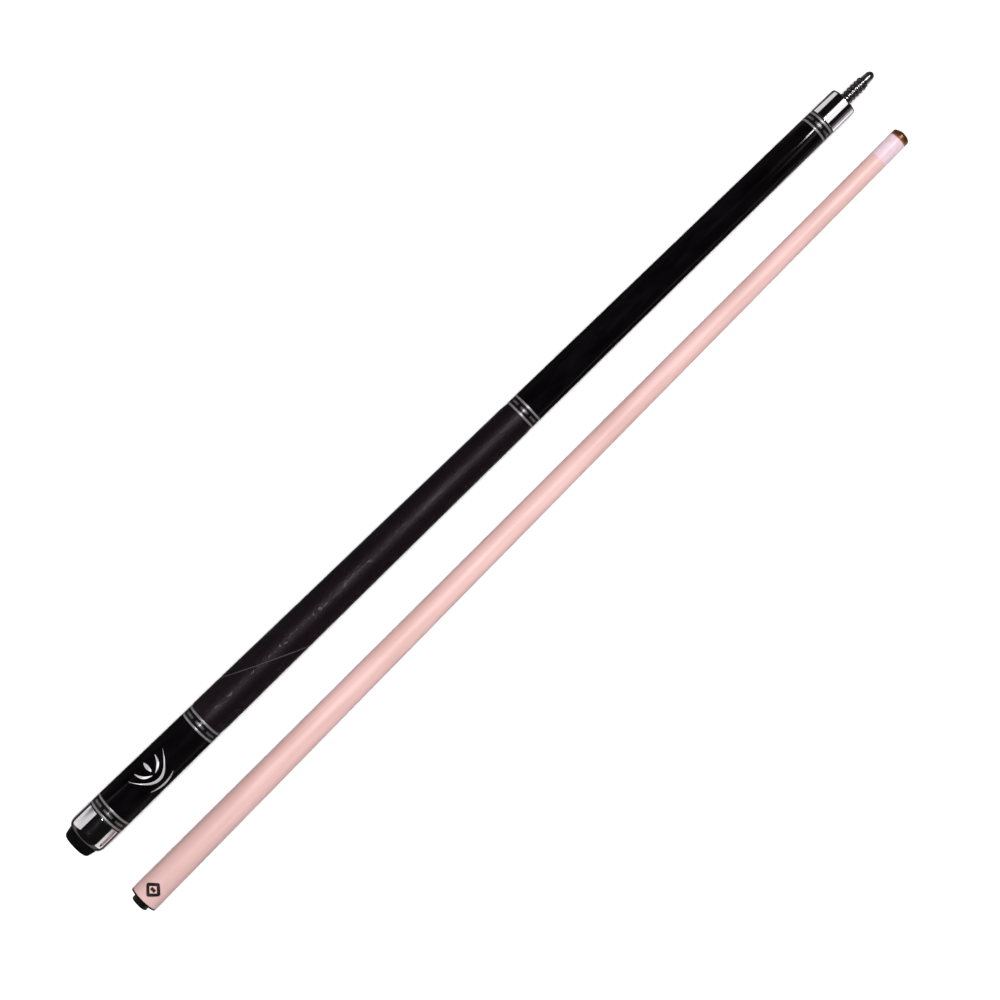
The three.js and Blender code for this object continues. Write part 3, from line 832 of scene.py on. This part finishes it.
def add_forearm():
    """The lacquered forearm with its tenons; the front one shows round the pin."""
    start, end = butt.span("forearm")
    front = butt.span("ring_d_rear")[0]
    shoulder = butt.span("ring_c_front")[1]
    hole, tenon = butt.rear_radii("forearm")
    ring_tenon = butt.rear_radii("joint_spacer")[0] - GLUE_LINE
    step = butt.span("joint_collar")[0] - GLUE_LINE
    pin_hole, pilot = butt.radii("forearm", end)
    pin_start = butt.span("joint_pin")[0] - 1.0
    stud_end = butt.span("handle_stud")[1] + 1.0
    wide, narrow = butt.radius(shoulder), butt.radius(front)
    profile = [(stud_end, 0), (stud_end, hole), (start, hole), (start, tenon), (shoulder, tenon),
               (shoulder, wide - 0.2), (shoulder + 0.15, wide - 0.04),
               *along(butt, shoulder + 0.4, front - 0.4),
               (front - 0.15, narrow - 0.04), (front, narrow - 0.2),
               (front, ring_tenon), (step, ring_tenon), (step, pilot), (end - 0.3, pilot),
               (end, pilot - 0.3), (end, pin_hole), (pin_start, pin_hole), (pin_start, 0)]
    add_turned("forearm", butt, profile, "butt", "lacquer", LACQUER)


def add_collar():
    """The polished collar at the joint, its front edge rounded and its bore eased."""
    start, end = butt.span("joint_collar")
    bore = butt.rear_radii("joint_collar")[0]
    face = butt.radii("joint_collar", end)[-1]
    edge = butt.radius(end) - face
    nose = quarter((end, face), (end - edge, butt.radius(end - edge)))[::-1]
    profile = [(start, bore), *chamfer(butt, start, 0.2, 0.2),
               *along(butt, start + 1, end - edge - 0.5), *nose, (end, bore + 0.35),
               (end - 0.35, bore)]
    add_turned("joint_collar", butt, profile, "butt", "polished_steel", STEEL)


def add_pin():
    """The joint pin: a coarse rounded thread between a plain shank and a bullet nose."""
    start, end = butt.span("joint_pin")
    corners = butt.corners("joint_pin")
    shank = butt.rear_radii("joint_pin")[-1]
    crest = corners[:, 1].max()
    thread_start = butt.span("forearm")[1]
    wide = corners[(corners[:, 1] > 3.0) & (corners[:, 0] < end - 5)]
    nose_start = wide[:, 0].max()
    nose = butt.radii("joint_pin", nose_start)[-1]
    thread_end, bullet_start = nose_start - 0.6, end - 4.2
    depth = 0.54
    thread = helix(level(thread_start, thread_end, crest - depth / 2, JOINT_PITCH / 24),
                   thread_start, thread_end, JOINT_PITCH, depth / 2, 0.45)
    bullet = quarter((end, 0), (bullet_start, nose), 20)[::-1]
    rows = [(start, 0), (start, shank), (thread_start - 0.3, shank), *thread,
            (nose_start - 0.25, nose + 0.1), *level(nose_start, bullet_start - 0.2, nose, 1.0),
            *bullet[:-1], (end, 0)]
    add_turned("joint_pin", butt, rows, "butt", "polished_steel", PIN_STEEL)


# ---- shaft -------------------------------------------------------------------

def add_insert():
    """The insert: a pilot boss that enters the joint collar, and the threaded socket in it."""
    start, end = shaft.span("shaft_insert")
    socket = shaft.rear_radii("shaft_insert")[0]
    floor = shaft.places("shaft_insert", 0)[0]
    body = shaft.radii("shaft_insert", end)[-1]
    pilot = shaft.corners("shaft_insert")[:, 1].max()
    wood_start = shaft.span("shaft_collar")[1] + GLUE_LINE
    depth, thread_end = 0.22, floor - 2
    thread = helix(level(start + 0.8, thread_end, socket - depth, JOINT_PITCH / 12)[::-1],
                   start + 0.6, thread_end, JOINT_PITCH, depth)
    rows = [(floor, 0), (floor, socket - 0.5), *thread, (start + 0.4, socket - 0.05),
            (start, socket + 0.3), *quarter((start, pilot - 0.9), (start + 1, pilot), 8),
            (wood_start, pilot), (wood_start, body), (end, body), (end, 0)]
    add_turned("shaft_insert", shaft, rows, "shaft", "phenolic", PHENOLIC)


def add_shaft_collar():
    """The black ring at the joint end of the wood."""
    start, end = shaft.span("shaft_collar")
    bore, outside = shaft.rear_radii("shaft_collar")
    end += GLUE_LINE / 2
    profile = bevelled([(start, bore, 0.1), (start, outside, 0.25), (end, outside), (end, bore)])
    add_turned("shaft_collar", shaft, profile, "shaft_slider", "phenolic", PHENOLIC)


def add_shaft_wood():
    """The tapered wood, bored for the insert behind and with a tenon for the ferrule in front."""
    start, end = shaft.span("shaft_wood")
    bore = shaft.rear_radii("shaft_wood")[0]
    floor = shaft.places("shaft_wood", 0)[0]
    tenon = shaft.radii("shaft_wood", end)[-1]
    front = shaft.span("ferrule")[0]
    start -= GLUE_LINE
    profile = [(floor, 0), (floor, bore), (start, bore), *chamfer(shaft, start, 0.15, 0.12),
               *along(shaft, start + 1, front - 0.1), (front, shaft.radius(front) - 0.06),
               (front, tenon), (end, tenon), (end, 0)]
    add_turned("shaft_wood", shaft, profile, "shaft", "maple", MAPLE)


def add_printed_mark():
    """A plain printed mark on top of the shaft: a lozenge frame round a short bar."""
    middle, reach, half_width = 11.4, 4.9, 5.4
    frame_stroke, bar_stroke, bar_reach = 2.3, 2.4, 1.3
    corners = [(middle - reach, 0), (middle, half_width), (middle + reach, 0), (middle, -half_width)]
    patches = [printed_bar(a, b, frame_stroke) for a, b in zip(corners, corners[1:] + corners[:1])]
    patches.append(printed_bar((middle, -bar_reach), (middle, bar_reach), bar_stroke))
    mark = plate("printed_mark", shaft, patches, lift=0.012, sink=0.02)
    finish_piece(mark, "shaft", "maple", INK)


def printed_bar(start, end, width):
    """A straight printed stroke between two (x, distance round) points."""
    start, end = np.array(start), np.array(end)
    run = (end - start) / np.linalg.norm(end - start)
    side = np.array((-run[1], run[0])) * width / 2
    start, end = start - run * width / 4, end + run * width / 4
    points = [[start + (end - start) * t + side * share for share in np.linspace(-1, 1, 5)]
              for t in np.linspace(0, 1, 21)]
    return np.array([[(x, arc / shaft.radius(x)) for x, arc in row] for row in points])


def add_ferrule():
    """The white ferrule over the wood's tenon."""
    start, end = shaft.span("ferrule")
    bore = shaft.rear_radii("ferrule")[0]
    floor = shaft.places("ferrule", 0)[0]
    end += GLUE_LINE / 2
    profile = [(floor, 0), (floor, bore), (start, bore), *chamfer(shaft, start, 0.1, 0.07),
               *along(shaft, start + 1, end - 0.15), (end, shaft.radius(end) - 0.08), (end, 0)]
    add_turned("ferrule", shaft, profile, "shaft", "ferrule", FERRULE)


def add_tip():
    """The fibre pad, and the leather tip in front of it."""
    start, end = shaft.span("tip_pad", GLUE_LINE / 2)
    outside = shaft.rear_radii("tip_pad")[-1]
    pad = [(start, 0), (start, outside - 0.1), (start + 0.12, outside - 0.02),
           (end - 0.12, outside - 0.02), (end, outside - 0.08), (end, 0)]
    add_turned("tip_pad", shaft, pad, "shaft", "fibre", FIBRE)
    tip = tip_rows(end, shaft.places("tip", outside)[-1], shaft.span("tip")[1], outside)
    add_turned("tip", shaft, tip, "shaft", "tip_leather", TIP_LEATHER)


def tip_rows(rim, dome_start, top, outside):
    """The tip's layered side, pressed out a little, and its dome, which is part of a sphere."""
    bulge, layer, crease = 0.05, 0.62, 0.03
    side = [(x, outside - bulge + bulge * math.sin(math.pi * (x - rim) / (dome_start - rim))
             - crease * (math.cos(2 * math.pi * (x - rim) / layer) > 0.8))
            for x in np.linspace(rim, dome_start - 0.2, 17)]
    rise = top - dome_start
    sphere = (outside ** 2 + rise ** 2) / (2 * rise)
    reach = math.asin((outside - 0.12) / sphere)
    dome = [(top - sphere * (1 - math.cos(turn)), sphere * math.sin(turn))
            for turn in np.linspace(reach, 0, 16)]
    return [(rim, 0), *side, *dome[:-1], (top, 0)]


# ---- hidden CAD nodes --------------------------------------------------------

def paint_hidden_nodes():
    """Looks for the CAD nodes that stay as they are, inside the butt."""
    inner_steel = zinc_steel("inner_steel", cad_node=True)
    brass = metal("turned_brass", ((0.58, 0.38, 0.13), (0.78, 0.56, 0.24)), (0.20, 0.38),
                  line=0.22, depth=0.005, cad_node=True)
    looks = {"handle_core": maple(cad_node=True), "handle_stud": inner_steel,
             "bumper_bush": brass, "weight_bolt": inner_steel}
    for node, material in looks.items():
        NODES[node].data.materials.clear()
        NODES[node].data.materials.append(material)


# ---- studio ------------------------------------------------------------------

# The camera hangs over the cue and looks straight down, turned so that the halves lie across
# the picture from one corner to the other.
CAMERA_PLACE = (-0.0072, -0.0050, 1.787)
CAMERA_TURN = math.radians(-44.14)
CAMERA_LENS = 93.6

# The panels that are mirrored: name, place in metres, width and length, and watts. The top ones
# face straight down and the side ones face across to y = 0. The key is mirrored in the wrap, and
# the others in the pieces at the joint, the tip, the cap or the collar, as they are named.
TOP_PANELS = [
    ("key", (-0.18, 0.07, 2.1), (0.38, 0.20), 19, "RECTANGLE"),
    ("joint_panel", (0.80, -0.575, 1.8), (0.20, 1.95), 1.75, "RECTANGLE"),
    ("joint_line", (0.81, -0.16, 1.78), (0.31, 0.065), 4.8, "ELLIPSE"),
    ("tip_spot", (0.805, -0.032, 1.8), (0.26, 0.26), 21, "RECTANGLE"),
]
SIDE_PANELS = [
    ("cap_left", (-0.93, 1.7, 0.42), (0.55, 2.65), 4.4),
    ("cap_right", (-0.93, -1.7, -0.38), (0.55, 1.66), 2.8),
    ("collar_left", (0.695, 1.7, -0.36), (0.07, 1.72), 0.36),
    ("collar_right", (0.79, -1.7, -1.35), (0.22, 2.1), 2.0),
]

# The greys that the world shows, from 0, straight down, to 1, straight up.
DOWN, DARK, HORIZON = 0.28, 0.008, 0.11
WORLD_STOPS = [(0.08, DOWN), (0.14, DARK), (0.22, DARK), (0.33, HORIZON), (0.57, HORIZON),
               (0.66, DARK)]


def add_camera():
    data = bpy.data.cameras.new("camera")
    data.lens = CAMERA_LENS
    data.sensor_width = 36
    data.clip_start = 0.01
    data.clip_end = 60
    camera = new_object("camera", data)
    camera.location = CAMERA_PLACE
    camera.rotation_euler = (0, 0, CAMERA_TURN)
    bpy.context.scene.camera = camera


def add_lamp(name, kind, place, target, **settings):
    """A lamp at place, facing target, that the camera doesn't see."""
    data = bpy.data.lights.new(name, kind)
    for setting, value in settings.items():
        setattr(data, setting, value)
    lamp = new_object(name, data)
    lamp.location = place
    lamp.rotation_euler = (Vector(target) - Vector(place)).to_track_quat("-Z", "Z").to_euler()
    lamp.visible_camera = False
    return lamp


def add_panel(name, place, target, size, watts, shape="RECTANGLE"):
    """A soft panel of a width and a length."""
    return add_lamp(name, "AREA", place, target, shape=shape, size=size[0], size_y=size[1],
                    energy=watts)


def add_lights():
    """An even soft light from overhead with faint fills past the ends of the cue, and panels
    that light nothing but are mirrored in the polished pieces."""
    overhead = add_lamp("overhead", "SUN", (0, 0, 2), (0, 0, 0), energy=3.7, angle=math.radians(24))
    overhead.visible_glossy = False
    for name, x in (("fill_left", -2.0), ("fill_right", 2.0)):
        fill = add_panel(name, (x, 0, 1.6), (0, 0, 0), (1.3, 1.3), 8)
        fill.visible_glossy = False
    for name, (x, y, z), size, watts, shape in TOP_PANELS:
        panel = add_panel(name, (x, y, z), (x, y, 0), size, watts, shape)
        panel.visible_diffuse = False
    for name, (x, y, z), size, watts in SIDE_PANELS:
        panel = add_panel(name, (x, y, z), (x, 0, z), size, watts)
        panel.visible_diffuse = False


def add_world():
    """What the pieces mirror: a faint band at the horizon, dark above it and below it, and pale
    again straight down, in place of the floor."""
    world = bpy.data.worlds.new("studio")
    bpy.context.scene.world = world
    world.use_nodes = True
    tree = world.node_tree
    coordinates, split, height, ramp = [
        tree.nodes.new("ShaderNode" + kind)
        for kind in ("TexCoord", "SeparateXYZ", "MapRange", "ValToRGB")]
    height.inputs["From Min"].default_value = -1
    tree.links.new(coordinates.outputs["Generated"], split.inputs[0])
    tree.links.new(split.outputs["Z"], height.inputs["Value"])
    tree.links.new(height.outputs["Result"], ramp.inputs["Fac"])
    tree.links.new(ramp.outputs["Color"], tree.nodes["Background"].inputs["Color"])
    set_stops(ramp, [(position, (grey, grey, grey)) for position, grey in WORLD_STOPS])


def pale_backing(name, points, faces, brightness, bounces):
    """A pale surface that no piece mirrors, as the world stands in for it. Its light falls on
    the pieces only if it bounces."""
    mesh = bpy.data.meshes.new(name)
    mesh.from_pydata(points, [], faces)
    look = Look(name, Base_Color=(0.95, 0.95, 0.95, 1), Roughness=0.9, Specular_IOR_Level=0.1,
                Emission_Color=(1, 1, 1, 1), Emission_Strength=brightness)
    mesh.materials.append(look.material)
    backing = new_object(name, mesh)
    backing.visible_glossy = False
    backing.visible_diffuse = bounces


def add_backing():
    """A plain pale floor at the lowest point of the cue, and a pale wall far round it."""
    reach, rise, low = 15.0, 6.0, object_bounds()[0].z
    around = [(-reach, -reach), (reach, -reach), (reach, reach), (-reach, reach)]
    ground = [(*corner, low) for corner in around]
    top = [(*corner, rise) for corner in around]
    pale_backing("floor", ground, [(0, 1, 2, 3)], brightness=0.0, bounces=True)
    walls = [(k, (k + 1) % 4, (k + 1) % 4 + 4, k + 4) for k in range(4)]
    pale_backing("backdrop", ground + top, walls, brightness=0.95, bounces=False)


def add_butt():
    add_bumper()
    add_washer()
    add_screw()
    add_cap()
    add_spacer("cap_spacer")
    add_spacer("joint_spacer")
    for letter in RING_SETS:
        add_bright_ring(f"ring_{letter}_rear")
        add_bright_ring(f"ring_{letter}_front")
        add_ring_band(letter)
    add_sleeve()
    add_wrap()
    add_forearm()
    add_collar()
    add_pin()


def add_shaft():
    add_insert()
    add_shaft_collar()
    add_shaft_wood()
    add_printed_mark()
    add_ferrule()
    add_tip()


add_camera()
add_butt()
add_shaft()
paint_hidden_nodes()
add_backing()
add_lights()
add_world()
bpy.context.scene.view_settings.view_transform = "Standard"
